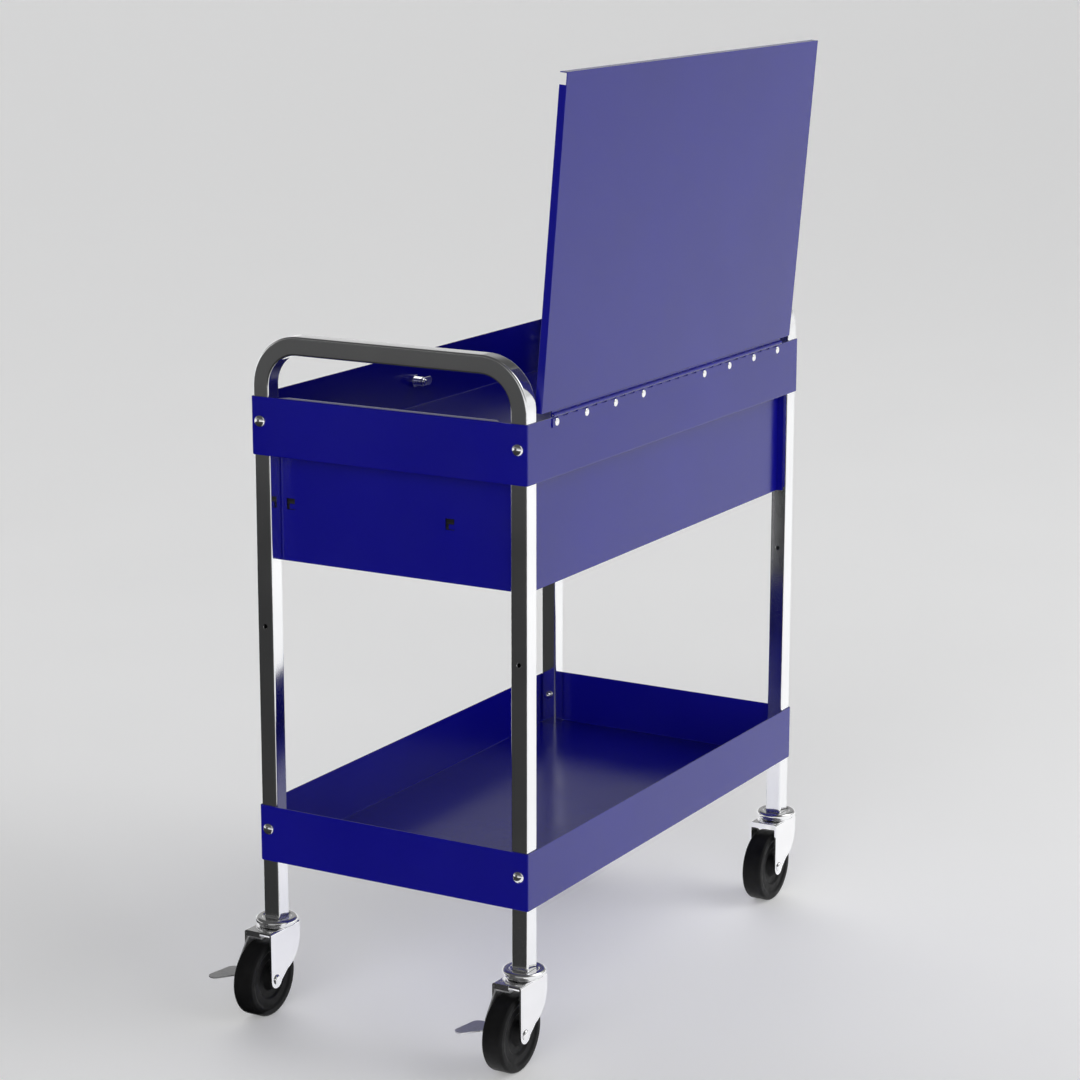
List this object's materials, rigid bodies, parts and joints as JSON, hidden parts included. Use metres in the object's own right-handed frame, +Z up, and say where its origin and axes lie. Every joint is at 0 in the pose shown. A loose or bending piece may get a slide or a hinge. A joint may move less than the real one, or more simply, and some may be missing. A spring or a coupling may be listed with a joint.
{
  "type": "flip top service cart",
  "caption": "Rolling service cart with two deep trays in bent tube end frames, a drawer under the upper tray, a hinged lid over it, swivel casters and foot brakes.",
  "frame": {"origin": "on the floor under the middle of the cart's outline, with the lid open", "axes": "+Z up; X along the cart, with the braked casters at the +X end; +Y toward the lid hinge, -Y toward the drawer front and lid lock"},
  "size_m": [0.8494, 0.4826, 1.2453],
  "materials": {
    "blue_enamel": "gloss deep blue enamel",
    "chrome": "bright chrome plate",
    "zinc_plate": "bright zinc plate",
    "black_steel": "thin black coat on steel",
    "black_rubber": "satin black"
  },
  "bodies": {
    "cart": {"end_frame_a": "chrome", "end_frame_b": "chrome", "upper_tray": "blue_enamel", "lower_tray": "blue_enamel", "tray_bolt_upper_a_front": "zinc_plate", "tray_bolt_upper_a_rear": "zinc_plate", "tray_bolt_upper_b_front": "zinc_plate", "tray_bolt_upper_b_rear": "zinc_plate", "tray_bolt_lower_a_front": "zinc_plate", "tray_bolt_lower_a_rear": "zinc_plate", "tray_bolt_lower_b_front": "zinc_plate", "tray_bolt_lower_b_rear": "zinc_plate", "housing_end_a": "blue_enamel", "housing_end_b": "blue_enamel", "housing_rear": "blue_enamel", "slide_outer_a": "black_steel", "slide_outer_b": "black_steel", "hinge_leaf_tray": "blue_enamel", "hinge_pin": "zinc_plate", "lock_barrel": "chrome", "lock_nut": "chrome", "caster_cap_a_front": "chrome", "caster_cap_a_rear": "chrome", "caster_cap_b_front": "chrome", "caster_cap_b_rear": "chrome"},
    "lid": {"lid": "blue_enamel", "hinge_leaf_lid": "blue_enamel"},
    "drawer": {"drawer_box": "blue_enamel", "drawer_front": "blue_enamel", "slide_inner_a": "black_steel", "slide_inner_b": "black_steel"},
    "slide_runners": {"slide_middle_a": "black_steel", "slide_middle_b": "black_steel"},
    "lock_plug": {"lock_plug": "chrome"},
    "swivel_a_front": {"caster_fork_a_front": "chrome", "axle_a_front": "zinc_plate"},
    "swivel_a_rear": {"caster_fork_a_rear": "chrome", "axle_a_rear": "zinc_plate"},
    "swivel_b_front": {"caster_fork_b_front": "chrome", "axle_b_front": "zinc_plate"},
    "swivel_b_rear": {"caster_fork_b_rear": "chrome", "axle_b_rear": "zinc_plate"},
    "wheel_a_front": {"wheel_a_front": "black_rubber"},
    "wheel_a_rear": {"wheel_a_rear": "black_rubber"},
    "wheel_b_front": {"wheel_b_front": "black_rubber"},
    "wheel_b_rear": {"wheel_b_rear": "black_rubber"},
    "brake_a_front": {"brake_a_front": "zinc_plate"},
    "brake_a_rear": {"brake_a_rear": "zinc_plate"}
  },
  "joints": [
    {"name": "lid_hinge", "type": "hinge", "parent": "cart", "child": "lid", "pos_m": [-0.0295, 0.20574, 0.827], "axis": [1, 0, 0], "range_deg": [0, 95]},
    {"name": "drawer_slide", "type": "slide", "parent": "cart", "child": "drawer", "axis": [0, -1, 0], "range_m": [0, 0.33]},
    {"name": "runner_slide", "type": "slide", "parent": "cart", "child": "slide_runners", "axis": [0, -1, 0], "range_m": [0, 0.165]},
    {"name": "lock_turn", "type": "hinge", "parent": "cart", "child": "lock_plug", "pos_m": [-0.0295, -0.20106, 0.786], "axis": [0, 1, 0], "range_deg": [0, 90]},
    {"name": "swivel_a_front", "type": "hinge", "parent": "cart", "child": "swivel_a_front", "pos_m": [0.3378, -0.18736, 0.1165], "axis": [0, 0, 1], "continuous": true},
    {"name": "swivel_a_rear", "type": "hinge", "parent": "cart", "child": "swivel_a_rear", "pos_m": [0.3378, 0.19124, 0.1165], "axis": [0, 0, 1], "continuous": true},
    {"name": "swivel_b_front", "type": "hinge", "parent": "cart", "child": "swivel_b_front", "pos_m": [-0.3968, -0.18736, 0.1165], "axis": [0, 0, 1], "continuous": true},
    {"name": "swivel_b_rear", "type": "hinge", "parent": "cart", "child": "swivel_b_rear", "pos_m": [-0.3968, 0.19124, 0.1165], "axis": [0, 0, 1], "continuous": true},
    {"name": "wheel_spin_a_front", "type": "hinge", "parent": "swivel_a_front", "child": "wheel_a_front", "pos_m": [0.37, -0.18736, 0.0508], "axis": [0, 1, 0], "continuous": true},
    {"name": "wheel_spin_a_rear", "type": "hinge", "parent": "swivel_a_rear", "child": "wheel_a_rear", "pos_m": [0.37, 0.19124, 0.0508], "axis": [0, 1, 0], "continuous": true},
    {"name": "wheel_spin_b_front", "type": "hinge", "parent": "swivel_b_front", "child": "wheel_b_front", "pos_m": [-0.3646, -0.18736, 0.0508], "axis": [0, 1, 0], "continuous": true},
    {"name": "wheel_spin_b_rear", "type": "hinge", "parent": "swivel_b_rear", "child": "wheel_b_rear", "pos_m": [-0.3646, 0.19124, 0.0508], "axis": [0, 1, 0], "continuous": true},
    {"name": "brake_press_a_front", "type": "hinge", "parent": "swivel_a_front", "child": "brake_a_front", "pos_m": [0.3578, -0.18736, 0.092], "axis": [0, 1, 0], "range_deg": [0, 13]},
    {"name": "brake_press_a_rear", "type": "hinge", "parent": "swivel_a_rear", "child": "brake_a_rear", "pos_m": [0.3578, 0.19124, 0.092], "axis": [0, 1, 0], "range_deg": [0, 13]}
  ],
  "couplings": [
    {"joint": "runner_slide", "follows": "drawer_slide", "ratio": 0.5}
  ]
}
